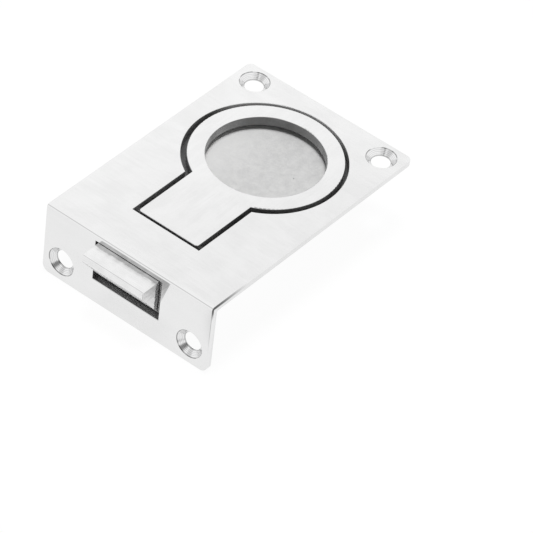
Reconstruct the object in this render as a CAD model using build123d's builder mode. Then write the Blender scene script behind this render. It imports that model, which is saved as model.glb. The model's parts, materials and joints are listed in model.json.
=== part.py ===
"""Flush ring pull with a spring latch bolt, in cast stainless steel.

The face plate is an L: a flat top plate and a lip that turns down at its front.  The ring lies flush
in a keyhole dish.  Lifting it turns the lever under its shank, which draws the latch bolt back
through the slot in the lip.  A compression spring sends both home again.

Frame, in millimetres: the origin is the inside corner of the L, midway across, where the underside
of the plate meets the inner face of the lip.  +X is to the right of someone who faces the lip, +Y
runs from the lip to the back edge of the plate, +Z is up, out of the top face.
"""

import os
from math import cos, hypot, radians, sin, tan

from build123d import *

os.makedirs("parts", exist_ok=True)


# Driving dimensions

pick_gap = 0.05  # how near an edge lies to the place that it is picked by

# Face plate
plate_width = 63.0
plate_length = 93.0  # outer face of the lip to the back edge
plate_t = 2.0
lip_height = 25.4  # top face to the lower edge of the lip
lip_t = 2.0
bend_r = 0.9  # outer radius where plate and lip meet
plate_corner_r = 2.0
lip_corner_r = 2.5
polish_r = 0.3  # edges that polishing has rounded
rim_bevel = 0.15  # rim of the keyhole opening and of the slot
root_r = 0.5  # casting fillet where anything stands on the underside of the plate

# Countersunk holes for the fixing screws, two at the back corners and two in the lip
fixing_r = 3.0
fixing_head_r = 4.8
fixing_angle = 90.0
fixing_side_inset = 7.0  # from each side edge
plate_fixing_inset = 6.4  # from the back edge
lip_fixing_inset = 7.1  # from the lower edge of the lip

# Ring and shank
ring_inner_r = 18.2
ring_band = 5.4  # inner to outer radius
ring_t = 3.4
ring_inset = 30.8  # back edge of the plate to the centre of the ring
shank_width = 22.2
shank_from_lip = 17.1  # outer face of the lip to the end of the shank
shank_corner_r = 1.0
ring_under_r = 0.4  # lower edges of the ring and the shank

# Keyhole dish
ring_gap = 1.5  # round the outside of the ring
ring_gap_shift = 0.55  # the dish is centred this much nearer the lip than the ring
shank_gap = 1.5  # each side of the shank
shank_end_gap = 0.95
fingertip_room = 1.6  # under the ring
dish_wall = 2.0
dish_floor_t = 2.0
dish_foot_r = 1.2  # outer edge of the dish's underside
ledge_bearing = 2.1  # width of the ledge that carries the rim of the ring
rest_gap = 0.05  # between the ring and that ledge
front_wall_t = 1.8

# Hinge
pin_r = 1.2
pin_cover = 0.3  # plate underside to the top of the pin's bore
pin_setback = 2.6  # end of the shank to the pin's axis
pin_end_bevel = 0.3
press_gap = 0.01  # round a pin that is pressed in
running_gap = 0.06  # round a pin that something turns on
knuckle_r = 2.4
knuckle_root_r = 0.8  # fillet between the knuckle and the lever
swing_gap = 0.3  # between the swinging end of the shank and its scallop
hinge_window = 4.8  # floor left open behind the pin's axis

# Lever and lift
lift_angle = 45.0
lever_tip_r = 1.7
lever_neck_t = 2.2
lever_width = 8.0
lever_gap = 0.12  # lever tip to the rear face of the bolt's window
lever_contact_rise = 0.8  # that face stays upright to this height above the tip's centre
lever_relief_angle = 30.0  # and leans back above it, from upright, clear of the neck
lever_side_gap = 0.2
slam_room = 0.4  # left in front of the lever when the bolt is pushed home with the ring down

# Latch bolt
bolt_projection = 7.0
bolt_travel = 7.0
bolt_width = 23.2
bolt_height = 14.25
bolt_drop = 0.4  # plate underside to the top of the bolt
nose_flat = 2.6
nose_top_r = 0.6
nose_side_r = 0.3
bevel_angle = 51.3  # of the ramp under the nose, from the plane of the plate
head_gap = 0.4  # left behind the head when the bolt is drawn back
tail_width = 16.0
tail_t = 6.7
crossbar_t = 5.0
tail_corner_r = 1.0
tail_root_r = 1.5  # where the tail leaves the head

# Bolt channel
slot_side_gap = 1.0
slot_top_gap = 0.15
slot_lead_in = 1.5  # the slot's depth behind the lip, into the channel walls
guide_gap = 0.35  # head to channel wall, each side
slide_gap = 0.3  # head to the sill and the cover below it
sill_depth = 2.1  # of the bar under the slot, from the inner face of the lip
seat_wall_t = 2.5

# Spring and the rod that it is threaded on
spring_length = 20.0  # between its seats, with the bolt out
spring_mean_r = 3.0
spring_wire_r = 0.25
spring_coils = 9.5
rod_r = 1.6
rod_grip = 4.0  # pressed into the bolt
rod_overhang = 1.5  # beyond the seat wall
rod_guide_gap = 0.2
rod_end_bevel = 0.4

# Cover and its screws
cover_t = 1.5
cover_corner_r = 2.5
cover_seam = 0.3  # between the sill and the cover
cover_margin = 1.6  # beyond the seat wall
cover_side_margin = 0.3  # beyond the bosses
boss_r = 3.0
boss_offset = 0.6  # outer face of the channel wall to the boss's axis
boss_edge = 3.8  # front edge of the cover to the axes of its front screws
screw_r = 1.5
screw_head_r = 2.8
screw_length = 8.0
screw_angle = 90.0
screw_hole_gap = 0.1
thread_gap = 0.02
tapped_depth = 9.0
recess_width = 0.7
recess_length = 3.0
recess_depth = 0.9


# Heights

top_z = plate_t
lip_bottom_z = top_z - lip_height
ring_under_z = top_z - ring_t
ledge_z = ring_under_z - rest_gap
floor_z = ring_under_z - fingertip_room
dish_bottom_z = floor_z - dish_floor_t
pin_z = -(pin_r + pin_cover)
bolt_top_z = -bolt_drop
bolt_bottom_z = bolt_top_z - bolt_height
channel_bottom_z = bolt_bottom_z - slide_gap
slot_top_z = bolt_top_z + slot_top_gap
tail_bottom_z = bolt_bottom_z
tail_top_z = tail_bottom_z + tail_t
spring_z = (tail_top_z + tail_bottom_z) / 2
cover_bottom_z = channel_bottom_z - cover_t

# Half widths, and places across

plate_half = plate_width / 2
shank_half = shank_width / 2
pocket_half = shank_half + shank_gap
dish_half = pocket_half + dish_wall
bolt_half = bolt_width / 2
slot_half = bolt_half + slot_side_gap
channel_half = bolt_half + guide_gap
bolt_window_half = lever_width / 2 + lever_side_gap
boss_x = dish_half + boss_offset
cover_half = boss_x + boss_r + cover_side_margin
cover_hole_r = screw_r + screw_hole_gap
cover_sink_r = screw_head_r + screw_hole_gap

# Places of the fixing holes, across and in height

fixing_x = plate_half - fixing_side_inset
lip_fixing_z = lip_bottom_z + lip_fixing_inset

# Places along Y, from the lip back

lip_face_y = -lip_t
back_y = lip_face_y + plate_length
plate_fixing_y = back_y - plate_fixing_inset
ring_y = back_y - ring_inset
ring_outer_r = ring_inner_r + ring_band
pocket_y = ring_y - ring_gap_shift
pocket_r = ring_outer_r + ring_gap
shank_end_y = lip_face_y + shank_from_lip
pocket_end_y = shank_end_y - shank_end_gap
pin_y = shank_end_y + pin_setback

# The top front edge of the shank swings about the pin, so the wall in front of it is scalloped.
swing_r = hypot(pin_setback - polish_r, top_z - polish_r - pin_z) + polish_r
scallop_r = swing_r + swing_gap
cavity_front_y = pin_y - scallop_r
front_wall_y = cavity_front_y - front_wall_t
window_back_y = pin_y + hinge_window

# The lever leans forward by half of the lift, so that its tip's travel is even on both sides of
# upright and the bolt moves nearly in step with the ring.
lever_arm = bolt_travel / 2 / sin(radians(lift_angle / 2))
tip_y = pin_y - lever_arm * sin(radians(lift_angle / 2))
tip_z = pin_z - lever_arm * cos(radians(lift_angle / 2))

nose_y = lip_face_y - bolt_projection
nose_z = bolt_top_z - nose_flat
ramp_end_y = nose_y + (bolt_height - nose_flat) / tan(radians(bevel_angle))
head_back_y = front_wall_y - head_gap - bolt_travel
relief_z = tip_z + lever_contact_rise
bolt_window_back_y = tip_y + lever_tip_r + lever_gap
bolt_window_front_y = tip_y - lever_tip_r - bolt_travel - slam_room
relief_back_y = bolt_window_back_y + (tail_top_z - relief_z) * tan(radians(lever_relief_angle))
tail_end_y = bolt_window_back_y + crossbar_t
seat_wall_y = tail_end_y + spring_length
channel_end_y = seat_wall_y + seat_wall_t
boss_back_y = channel_end_y - seat_wall_t / 2
cover_front_y = sill_depth + cover_seam
boss_front_y = cover_front_y + boss_edge
cover_back_y = channel_end_y + cover_margin
rod_end_y = channel_end_y + rod_overhang

front_face = Plane.XZ.offset(-lip_face_y)
boss_points = [(side * boss_x, y) for side in (-1, 1) for y in (boss_front_y, boss_back_y)]


def keyhole(centre_y, radius, half_width, end_y):
    """Add a disc with a straight bar that runs from its centre towards the lip."""
    with Locations((0, centre_y)):
        Circle(radius)
    with Locations((0, (centre_y + end_y) / 2)):
        Rectangle(2 * half_width, centre_y - end_y)


def slab(half_width, y_from, y_to, mode=Mode.ADD):
    """Add or cut a rectangle centred across, between two places along Y."""
    with Locations((0, (y_from + y_to) / 2)):
        Rectangle(2 * half_width, y_to - y_from, mode=mode)


def rim_of(faces):
    """Return the edges that lie round the outside of a patch of joined faces."""
    edges = [edge for face in faces for edge in face.edges()]
    return ShapeList(edge for edge in edges if sum(edge.is_same(other) for other in edges) == 1)


def is_lever_root(edge):
    """Tell whether an edge lies in the corner between the knuckle and the neck of the lever."""
    middle = edge @ 0.5
    off_knuckle = abs(hypot(middle.Y - pin_y, middle.Z - pin_z) - knuckle_r)
    return middle.Z < pin_z and off_knuckle < pick_gap and edge.length < lever_width + pick_gap


def is_root(edge):
    """Tell whether an edge of the plate's underside is a foot or the bend, and not its outline."""
    middle = edge @ 0.5
    return abs(middle.X) < plate_half - plate_corner_r and middle.Y < back_y - plate_corner_r


# Face plate: the L, the dish under its opening, and the channel for the bolt, cast in one

with BuildPart() as face_plate:
    # Top plate with its two rounded back corners
    with BuildSketch():
        slab(plate_half, lip_face_y, back_y)
    extrude(amount=plate_t)
    fillet(face_plate.edges().filter_by(Axis.Z).group_by(Axis.Y)[-1], plate_corner_r)

    # Lip with its two rounded lower corners
    with BuildSketch(Plane.XY.offset(lip_bottom_z)):
        slab(plate_half, lip_face_y, 0)
    extrude(amount=-lip_bottom_z)
    fillet(face_plate.edges().filter_by(Axis.Y).group_by(Axis.Z)[0], lip_corner_r)

    # The bend, then the polished outline of the whole skin
    fillet(face_plate.edges().filter_by(Axis.X).group_by(Axis.Z)[-1].sort_by(Axis.Y)[0], bend_r)
    bend = face_plate.faces().filter_by(GeomType.CYLINDER).sort_by(Axis.Y)[0]
    top = face_plate.faces().sort_by(Axis.Z)[-1]
    front = face_plate.faces().filter_by(Axis.Y).sort_by(Axis.Y)[0]
    fillet(rim_of([top, bend, front]), polish_r)

    # Outside of the dish
    with BuildSketch(Plane.XY.offset(dish_bottom_z)):
        keyhole(pocket_y, pocket_r + dish_wall, dish_half, front_wall_y)
    extrude(amount=-dish_bottom_z)
    fillet(face_plate.faces().filter_by(Axis.Z).sort_by(Axis.Z)[1].outer_wire().edges(), dish_foot_r)

    # Channel walls, from the lip to the wall that the spring seats on, and four screw bosses
    with BuildSketch(Plane.XY.offset(channel_bottom_z)):
        slab(dish_half, 0, channel_end_y)
        slab(channel_half, 0, seat_wall_y, mode=Mode.SUBTRACT)
        with Locations(*boss_points):
            Circle(boss_r)
    extrude(amount=-channel_bottom_z)

    # Sill under the slot, from wall to wall and level with the cover
    with BuildSketch(Plane.XY.offset(cover_bottom_z)):
        slab(dish_half, 0, sill_depth)
    extrude(amount=cover_t)

    # Casting fillets round the foot of the dish, of the channel and of the bosses, and in the bend
    underside = face_plate.faces().filter_by(Plane.XY).filter_by_position(Axis.Z, -root_r, root_r)
    roots = [edge for edge in underside.sort_by(SortBy.AREA)[-1].edges() if is_root(edge)]
    fillet(roots, root_r)

    # Opening and dish: down to the ledge, then to the floor inside it
    with BuildSketch(Plane.XY.offset(ledge_z)):
        keyhole(pocket_y, pocket_r, pocket_half, pocket_end_y)
    extrude(amount=top_z - ledge_z, mode=Mode.SUBTRACT)
    with BuildSketch(Plane.XY.offset(floor_z)):
        keyhole(ring_y, ring_outer_r - ledge_bearing, shank_half - ledge_bearing, pin_y)
    extrude(amount=ledge_z - floor_z, mode=Mode.SUBTRACT)

    # Scallop for the swinging end of the shank, and the window that the knuckle works in
    with BuildSketch(Plane.YZ):
        with Locations((pin_y, pin_z)):
            Circle(scallop_r)
        with Locations((pin_y, dish_bottom_z)):
            Rectangle(4 * scallop_r, 2 * (pin_z - dish_bottom_z), mode=Mode.SUBTRACT)
    extrude(amount=pocket_half, both=True, mode=Mode.SUBTRACT)
    with BuildSketch(Plane.XY.offset(dish_bottom_z)):
        slab(pocket_half, cavity_front_y, window_back_y)
    extrude(amount=ledge_z - dish_bottom_z, mode=Mode.SUBTRACT)

    # Slot for the bolt, cut a little way into the channel walls behind the lip
    with BuildSketch(front_face):
        with Locations((0, (slot_top_z + channel_bottom_z) / 2)):
            Rectangle(2 * slot_half, slot_top_z - channel_bottom_z)
    extrude(amount=-(lip_t + slot_lead_in), mode=Mode.SUBTRACT)

    # Rims of the opening and of the slot
    top = face_plate.faces().sort_by(Axis.Z)[-1]
    chamfer(top.inner_wires()[0].edges(), rim_bevel)
    front = face_plate.faces().filter_by(Axis.Y).sort_by(Axis.Y)[0]
    chamfer(front.inner_wires()[0].edges(), rim_bevel)

    # Fixing holes, countersunk from the faces that show
    with Locations(Plane.XY.offset(top_z)):
        with Locations(*[(side * fixing_x, plate_fixing_y) for side in (-1, 1)]):
            CounterSinkHole(fixing_r, fixing_head_r, plate_t, fixing_angle)
    with Locations(front_face):
        with Locations(*[(side * fixing_x, lip_fixing_z) for side in (-1, 1)]):
            CounterSinkHole(fixing_r, fixing_head_r, lip_t, fixing_angle)

    # Bore for the hinge pin, through both side walls of the dish
    with BuildSketch(Plane.YZ):
        with Locations((pin_y, pin_z)):
            Circle(pin_r + press_gap)
    extrude(amount=dish_half, both=True, mode=Mode.SUBTRACT)

    # Hole for the spring's rod in the seat wall, and tapped holes in the bosses
    with BuildSketch(Plane.XZ.offset(-seat_wall_y)):
        with Locations((0, spring_z)):
            Circle(rod_r + rod_guide_gap)
    extrude(amount=-seat_wall_t, mode=Mode.SUBTRACT)
    with BuildSketch(Plane.XY.offset(channel_bottom_z)):
        with Locations(*boss_points):
            Circle(screw_r + thread_gap)
    extrude(amount=tapped_depth, mode=Mode.SUBTRACT)

face_plate.part.label = "face_plate"
export_step(face_plate.part, "parts/face_plate.step")


# Ring pull: ring, shank, knuckle and lever, cast in one

with BuildPart() as ring_pull:
    with BuildSketch(Plane.XY.offset(ring_under_z)):
        keyhole(ring_y, ring_outer_r, shank_half, shank_end_y)
        with Locations((0, ring_y)):
            Circle(ring_inner_r, mode=Mode.SUBTRACT)
    extrude(amount=ring_t)
    fillet(ring_pull.edges().filter_by(Axis.Z).group_by(Axis.Y)[0], shank_corner_r)
    fillet(ring_pull.faces().sort_by(Axis.Z)[-1].edges(), polish_r)
    fillet(ring_pull.faces().sort_by(Axis.Z)[0].edges(), ring_under_r)

    # Knuckle across the whole shank
    with BuildSketch(Plane.YZ):
        with Locations((pin_y, pin_z)):
            Circle(knuckle_r)
    extrude(amount=shank_half, both=True)

    # Lever: a neck down from the knuckle, with a round tip that stands proud of it on both sides
    with BuildSketch(Plane.YZ):
        with Locations(((pin_y + tip_y) / 2, (pin_z + tip_z) / 2)):
            Rectangle(lever_neck_t, lever_arm, rotation=-lift_angle / 2)
        with Locations((tip_y, tip_z)):
            Circle(lever_tip_r)
    extrude(amount=lever_width / 2, both=True)
    lever_roots = ring_pull.edges().filter_by(Axis.X).filter_by(is_lever_root)
    fillet(lever_roots, knuckle_root_r)

    # Bore that turns on the pin
    with BuildSketch(Plane.YZ):
        with Locations((pin_y, pin_z)):
            Circle(pin_r + running_gap)
    extrude(amount=shank_half, both=True, mode=Mode.SUBTRACT)

ring_pull.part.label = "ring_pull"
export_step(ring_pull.part, "parts/ring_pull.step")


# Hinge pin, pressed into the side walls of the dish

with BuildPart() as hinge_pin:
    with BuildSketch(Plane.YZ):
        with Locations((pin_y, pin_z)):
            Circle(pin_r)
    extrude(amount=dish_half, both=True)
    chamfer(hinge_pin.edges(), pin_end_bevel)

hinge_pin.part.label = "hinge_pin"
export_step(hinge_pin.part, "parts/hinge_pin.step")


# Latch bolt: a head with a ramp under its nose, and a tail with the lever's window

with BuildPart() as latch_bolt:
    with BuildSketch(Plane.YZ):
        with BuildLine():
            Polyline(
                (nose_y, bolt_top_z),
                (head_back_y, bolt_top_z),
                (head_back_y, bolt_bottom_z),
                (ramp_end_y, bolt_bottom_z),
                (nose_y, nose_z),
                close=True,
            )
        make_face()
    extrude(amount=bolt_half, both=True)
    fillet(latch_bolt.edges().filter_by(Axis.X).group_by(Axis.Y)[0].sort_by(Axis.Z)[-1], nose_top_r)
    nose = latch_bolt.faces().filter_by(Axis.Y).sort_by(Axis.Y)[0]
    fillet(nose.edges().filter_by(Axis.Z), nose_side_r)

    # Tail: two arms and a crossbar round the window
    with BuildSketch(Plane.XY.offset(tail_bottom_z)):
        slab(tail_width / 2, head_back_y, tail_end_y)
        slab(bolt_window_half, bolt_window_front_y, bolt_window_back_y, mode=Mode.SUBTRACT)
    extrude(amount=tail_t)

    # Above the lever's tip the rear face of the window leans back, clear of the neck
    with BuildSketch(Plane.YZ):
        with BuildLine():
            Polyline(
                (bolt_window_back_y, relief_z),
                (relief_back_y, tail_top_z),
                (bolt_window_back_y, tail_top_z),
                close=True,
            )
        make_face()
    extrude(amount=bolt_window_half, both=True, mode=Mode.SUBTRACT)
    tail_end = latch_bolt.faces().filter_by(Axis.Y).sort_by(Axis.Y)[-1]
    fillet(tail_end.edges().filter_by(Axis.Z), tail_corner_r)
    tail_sides = latch_bolt.faces().filter_by(Axis.X).group_by(Axis.Y)[-1].edges().filter_by(Axis.Z)
    fillet(tail_sides.group_by(Axis.Y)[0], tail_root_r)

    # Blind hole that grips the spring's rod
    with BuildSketch(Plane.XZ.offset(-tail_end_y)):
        with Locations((0, spring_z)):
            Circle(rod_r + press_gap)
    extrude(amount=rod_grip, mode=Mode.SUBTRACT)

latch_bolt.part.label = "latch_bolt"
export_step(latch_bolt.part, "parts/latch_bolt.step")


# Guide rod, pressed into the bolt and sliding through the seat wall

with BuildPart() as guide_rod:
    with BuildSketch(Plane.XZ.offset(-(tail_end_y - rod_grip))):
        with Locations((0, spring_z)):
            Circle(rod_r)
    extrude(amount=-(rod_end_y - tail_end_y + rod_grip))
    chamfer(guide_rod.edges().group_by(Axis.Y)[-1], rod_end_bevel)

guide_rod.part.label = "guide_rod"
export_step(guide_rod.part, "parts/guide_rod.step")


# Bolt spring: a helix with both ends ground flat against its seats

spring_pitch = spring_length / spring_coils
helix_start_y = tail_end_y - spring_wire_r
helix_height = spring_length + 2 * spring_wire_r

with BuildPart() as bolt_spring:
    with BuildLine():
        coil = Helix(spring_pitch, helix_height, spring_mean_r, (0, helix_start_y, spring_z), (0, 1, 0))
    with BuildSketch(Plane(coil @ 0, z_dir=coil % 0)):
        Circle(spring_wire_r)
    sweep(is_frenet=True)
    split(bisect_by=Plane.XZ.offset(-tail_end_y), keep=Keep.BOTTOM)
    split(bisect_by=Plane.XZ.offset(-seat_wall_y), keep=Keep.TOP)

bolt_spring.part.label = "bolt_spring"
export_step(bolt_spring.part, "parts/bolt_spring.step")


# Cover plate that closes the channel from below

with BuildPart() as cover_plate:
    with BuildSketch(Plane.XY.offset(cover_bottom_z)):
        slab(cover_half, cover_front_y, cover_back_y)
    extrude(amount=cover_t)
    fillet(cover_plate.edges().filter_by(Axis.Z), cover_corner_r)
    with Locations(Plane.XY.offset(cover_bottom_z).rotated((180, 0, 0))):
        with Locations(*[(x, -y) for x, y in boss_points]):
            CounterSinkHole(cover_hole_r, cover_sink_r, cover_t, screw_angle)

cover_plate.part.label = "cover_plate"
export_step(cover_plate.part, "parts/cover_plate.step")


# Four cross-recessed countersunk screws that hold the cover

screw_head_t = (screw_head_r - screw_r) / tan(radians(screw_angle / 2))

with BuildPart() as cover_screws:
    for x, y in boss_points:
        with BuildSketch(Plane((x, y, cover_bottom_z), x_dir=(1, 0, 0), z_dir=(0, -1, 0))):
            with BuildLine():
                Polyline(
                    (0, 0),
                    (screw_head_r, 0),
                    (screw_r, screw_head_t),
                    (screw_r, screw_length),
                    (0, screw_length),
                    close=True,
                )
            make_face()
        revolve(axis=Axis((x, y, 0), (0, 0, 1)))
    with BuildSketch(Plane.XY.offset(cover_bottom_z)):
        with Locations(*boss_points):
            Rectangle(recess_length, recess_width)
            Rectangle(recess_width, recess_length)
    extrude(amount=recess_depth, mode=Mode.SUBTRACT)

cover_screws.part.label = "cover_screws"
export_step(cover_screws.part, "parts/cover_screws.step")
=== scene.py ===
"""Looks of a flush ring pull with a spring latch bolt, in polished cast stainless steel.

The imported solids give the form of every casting.  The spring and the cover's screws are worked out
here as surfaces, with closed end turns, threads and cross recesses.  Places in the shaders are in
millimetres on Object coordinates, along the axes of the part: +X to the right of someone who faces
the lip, +Y from the lip to the back edge of the plate, +Z out of the top face.
"""

import json
import logging
import math
from collections.abc import Callable
from dataclasses import dataclass, field, replace
from enum import Enum
from typing import Any

import bpy
import numpy as np
from mathutils import Matrix, Vector


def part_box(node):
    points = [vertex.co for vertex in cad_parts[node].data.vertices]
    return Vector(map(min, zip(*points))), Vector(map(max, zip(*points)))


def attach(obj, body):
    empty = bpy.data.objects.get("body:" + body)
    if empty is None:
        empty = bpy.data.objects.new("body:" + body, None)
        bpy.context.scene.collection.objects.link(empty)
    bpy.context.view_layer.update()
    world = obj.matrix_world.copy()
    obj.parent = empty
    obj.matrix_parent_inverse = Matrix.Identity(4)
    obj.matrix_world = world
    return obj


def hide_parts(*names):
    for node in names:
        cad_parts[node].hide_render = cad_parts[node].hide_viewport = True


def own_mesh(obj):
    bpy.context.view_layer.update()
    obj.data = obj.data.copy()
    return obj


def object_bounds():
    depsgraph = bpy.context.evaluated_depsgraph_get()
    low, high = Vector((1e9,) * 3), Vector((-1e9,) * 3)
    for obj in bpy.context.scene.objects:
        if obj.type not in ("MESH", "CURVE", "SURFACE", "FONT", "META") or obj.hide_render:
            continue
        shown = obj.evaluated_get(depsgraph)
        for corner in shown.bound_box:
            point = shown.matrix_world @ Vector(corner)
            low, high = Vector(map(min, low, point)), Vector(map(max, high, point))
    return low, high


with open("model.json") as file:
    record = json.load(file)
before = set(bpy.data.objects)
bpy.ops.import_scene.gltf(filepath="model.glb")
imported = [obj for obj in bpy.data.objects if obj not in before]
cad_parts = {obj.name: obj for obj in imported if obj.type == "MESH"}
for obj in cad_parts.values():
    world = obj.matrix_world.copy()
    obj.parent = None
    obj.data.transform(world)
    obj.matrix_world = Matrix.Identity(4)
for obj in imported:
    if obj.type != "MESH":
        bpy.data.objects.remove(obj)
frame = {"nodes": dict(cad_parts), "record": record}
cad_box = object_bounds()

log = logging.getLogger("ring_pull")

MM = 0.001

Colour = tuple[float, float, float]
Direction = tuple[float, float, float]
Span = tuple[float, float]
Number = float | int
Settings = dict[str, Any] | None
Sockets = dict[str | int, Any] | None

WHITE = (1.0, 1.0, 1.0, 1.0)

# The finer layers of a noise: how many there are, and how strong each is
FINE_LAYERS = 3.0
FINE_STRENGTH = 0.6

# How far apart a casting's loose corners may lie and still be joined
WELD_REACH = 0.002

# The sharpest turns that still look round, in degrees, on a casting and on a new surface
CAST_CREASE = 32.0
NEW_CREASE = 35.0


class Axis(Enum):
    """A direction of the part that a finish can run along."""

    ACROSS = 0
    LENGTHWAYS = 1


# Shader maths


class Value:
    """One output of a shader node, which Python expressions can work on.

    Each operator adds a Math node.  The reflected forms let a plain number stand first, as in
    1 - mask.
    """

    def __init__(self, graph: "Graph", output: bpy.types.NodeSocket) -> None:
        """Hold an output of a node in a graph."""
        self.graph = graph
        self.output = output

    def __add__(self, other: "Value | Number") -> "Value":
        """Add."""
        return self.graph.maths("ADD", self, other)

    __radd__ = __add__

    def __sub__(self, other: "Value | Number") -> "Value":
        """Take away."""
        return self.graph.maths("SUBTRACT", self, other)

    def __rsub__(self, other: Number) -> "Value":
        """Take this from a number."""
        return self.graph.maths("SUBTRACT", other, self)

    def __mul__(self, other: "Value | Number") -> "Value":
        """Multiply."""
        return self.graph.maths("MULTIPLY", self, other)

    __rmul__ = __mul__

    def __pow__(self, other: "Value | Number") -> "Value":
        """Raise to a power."""
        return self.graph.maths("POWER", self, other)

    def __abs__(self) -> "Value":
        """Drop the sign."""
        return self.graph.maths("ABSOLUTE", self)

    def sine(self) -> "Value":
        """Take the sine."""
        return self.graph.maths("SINE", self)

    def at_least(self, other: "Value | Number") -> "Value":
        """Take the greater of two values."""
        return self.graph.maths("MAXIMUM", self, other)

    def rises(self, start: Number, end: Number) -> "Value":
        """Go smoothly from 0 at start to 1 at end, which may be the lower of the two.

        Args:
            start: where the result is still 0.
            end: where the result is 1.

        Returns:
            A mask between 0 and 1.
        """
        low, high = min(start, end), max(start, end)
        mask = self.graph.value(
            "ShaderNodeMapRange",
            {"interpolation_type": "SMOOTHSTEP"},
            {"Value": self, "From Min": low, "From Max": high},
            "Result",
        )
        return mask if end > start else 1.0 - mask

    def past(self, edge: Number, fade: Number) -> "Value":
        """Go from 0 at an edge to 1 past a fade, which is less than 0 where the mask lies below."""
        return self.rises(edge, edge + fade)


class Graph:
    """The node tree of one material, world or modifier, filled by expressions."""

    def __init__(self, tree: bpy.types.NodeTree) -> None:
        """Empty a node tree and work in it."""
        self.tree = tree
        tree.nodes.clear()

    def node(self, kind: str, settings: Settings = None, sockets: Sockets = None) -> bpy.types.Node:
        """Add a node.

        Args:
            kind: the node's type.
            settings: its properties, set first because some of them change its sockets.
            sockets: for each input, by name or number, a link to a Value or a plain value.

        Returns:
            The new node.
        """
        made = self.tree.nodes.new(kind)
        for name, setting in (settings or {}).items():
            setattr(made, name, setting)
        for key, content in (sockets or {}).items():
            if isinstance(content, Value):
                self.tree.links.new(content.output, made.inputs[key])
            else:
                made.inputs[key].default_value = content
        return made

    def value(
        self, kind: str, settings: Settings = None, sockets: Sockets = None, output: str | int = 0
    ) -> Value:
        """Add a node and hold one of its outputs.

        Args:
            kind: the node's type.
            settings: its properties.
            sockets: its inputs.
            output: the output, by name or number.

        Returns:
            That output.
        """
        return Value(self, self.node(kind, settings, sockets).outputs[output])

    def maths(self, operation: str, *terms: Value | Number) -> Value:
        """Add a Math node on one or two terms."""
        return self.value("ShaderNodeMath", {"operation": operation}, dict(enumerate(terms)))

    def mixed_colour(self, first: Any, second: Any, share: Value) -> Value:
        """Mix two colours, each a Value or three numbers."""
        first, second = (c if isinstance(c, Value) else (*c, 1.0) for c in (first, second))
        return self.value("ShaderNodeMix", {"data_type": "RGBA"}, {"Factor": share, 6: first, 7: second}, 2)

    def mixed_shader(self, first: Value, second: Value, share: Value) -> Value:
        """Mix two shaders."""
        return self.value("ShaderNodeMixShader", sockets={0: share, 1: first, 2: second})

    def noise(self, place: Value, size: Number, layers: Number = 2.0, strength: Number = 0.5) -> Value:
        """Give a smooth random value, about 0 to 1.

        Args:
            place: the position, in millimetres.
            size: the width of its patches, in millimetres.
            layers: how many finer layers it has.
            strength: how strong those layers are.

        Returns:
            The value.
        """
        sockets = {"Vector": place, "Scale": 1.0 / size, "Detail": layers, "Roughness": strength}
        return self.value("ShaderNodeTexNoise", {"noise_dimensions": "3D"}, sockets)


def from_axis(first: Value, second: Value) -> Value:
    """Give the distance from an axis, out of its parts along the two other axes."""
    return (first ** 2.0 + second ** 2.0) ** 0.5


@dataclass(frozen=True)
class Place:
    """The position on a piece, in millimetres, whole and by axis, and the graph that reads it."""

    graph: Graph
    whole: Value
    x: Value
    y: Value
    z: Value

    @classmethod
    def of(cls, graph: Graph) -> "Place":
        """Read the position from Object coordinates.

        Args:
            graph: the node tree.

        Returns:
            The position.
        """
        metres = graph.value("ShaderNodeTexCoord", output="Object")
        whole = graph.value("ShaderNodeVectorMath", {"operation": "SCALE"}, {0: metres, "Scale": 1.0 / MM})
        split = graph.node("ShaderNodeSeparateXYZ", sockets={0: whole})
        return cls(graph, whole, *(Value(graph, split.outputs[axis]) for axis in range(3)))

    def stretched(self, axis: Axis, times: Number) -> Value:
        """Squeeze one axis, so that a pattern read from the result is drawn out along it.

        Args:
            axis: the direction of the pattern.
            times: how much longer than wide its patches are.

        Returns:
            The squeezed position.
        """
        factors = [1.0, 1.0, 1.0]
        factors[axis.value] = 1.0 / times
        sockets = {0: self.whole, 1: tuple(factors)}
        return self.graph.value("ShaderNodeVectorMath", {"operation": "MULTIPLY"}, sockets)


# Finishes


def grey(level: float, blue: float = 0.0) -> Colour:
    """Give a grey, with its blue a little above or below the level."""
    return (level, level, level + blue)


def blended(under: Value | Number, over: Value | Number, mask: Value) -> Value | Number:
    """Go from one value to another with a mask.

    Args:
        under: the value where the mask is 0.
        over: the value where it is 1.
        mask: the mask.

    Returns:
        The blend, or the number itself where both are the same number.
    """
    if isinstance(under, float) and under == over:
        return under
    return under + (over - under) * mask


def mottled(fine: Value, broad: Value, fine_share: float, span: Span = (0.3, 0.7)) -> Value:
    """Weigh a fine pattern against a broad one, and spread the result over 0 to 1.

    Args:
        fine: the fine pattern.
        broad: the broad one.
        fine_share: the weight of the fine one.
        span: the sums that become 0 and 1.

    Returns:
        The mottle, 0 to 1.
    """
    return (fine * fine_share + broad * (1.0 - fine_share)).rises(*span)


@dataclass(frozen=True)
class Look:
    """What a finish gives at each point.  Height is in millimetres, and metal is 1 where bare."""

    colour: Value
    roughness: Value
    height: Value
    metal: Value | Number = 1.0

    def under(self, other: "Look", mask: Value) -> "Look":
        """Lay another look over this one.

        Args:
            other: the look on top.
            mask: 1 where the other one shows, 0 where this one does.

        Returns:
            The joined look.
        """
        return Look(
            self.colour.graph.mixed_colour(self.colour, other.colour, mask),
            blended(self.roughness, other.roughness, mask),
            blended(self.height, other.height, mask),
            blended(self.metal, other.metal, mask),
        )


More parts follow.
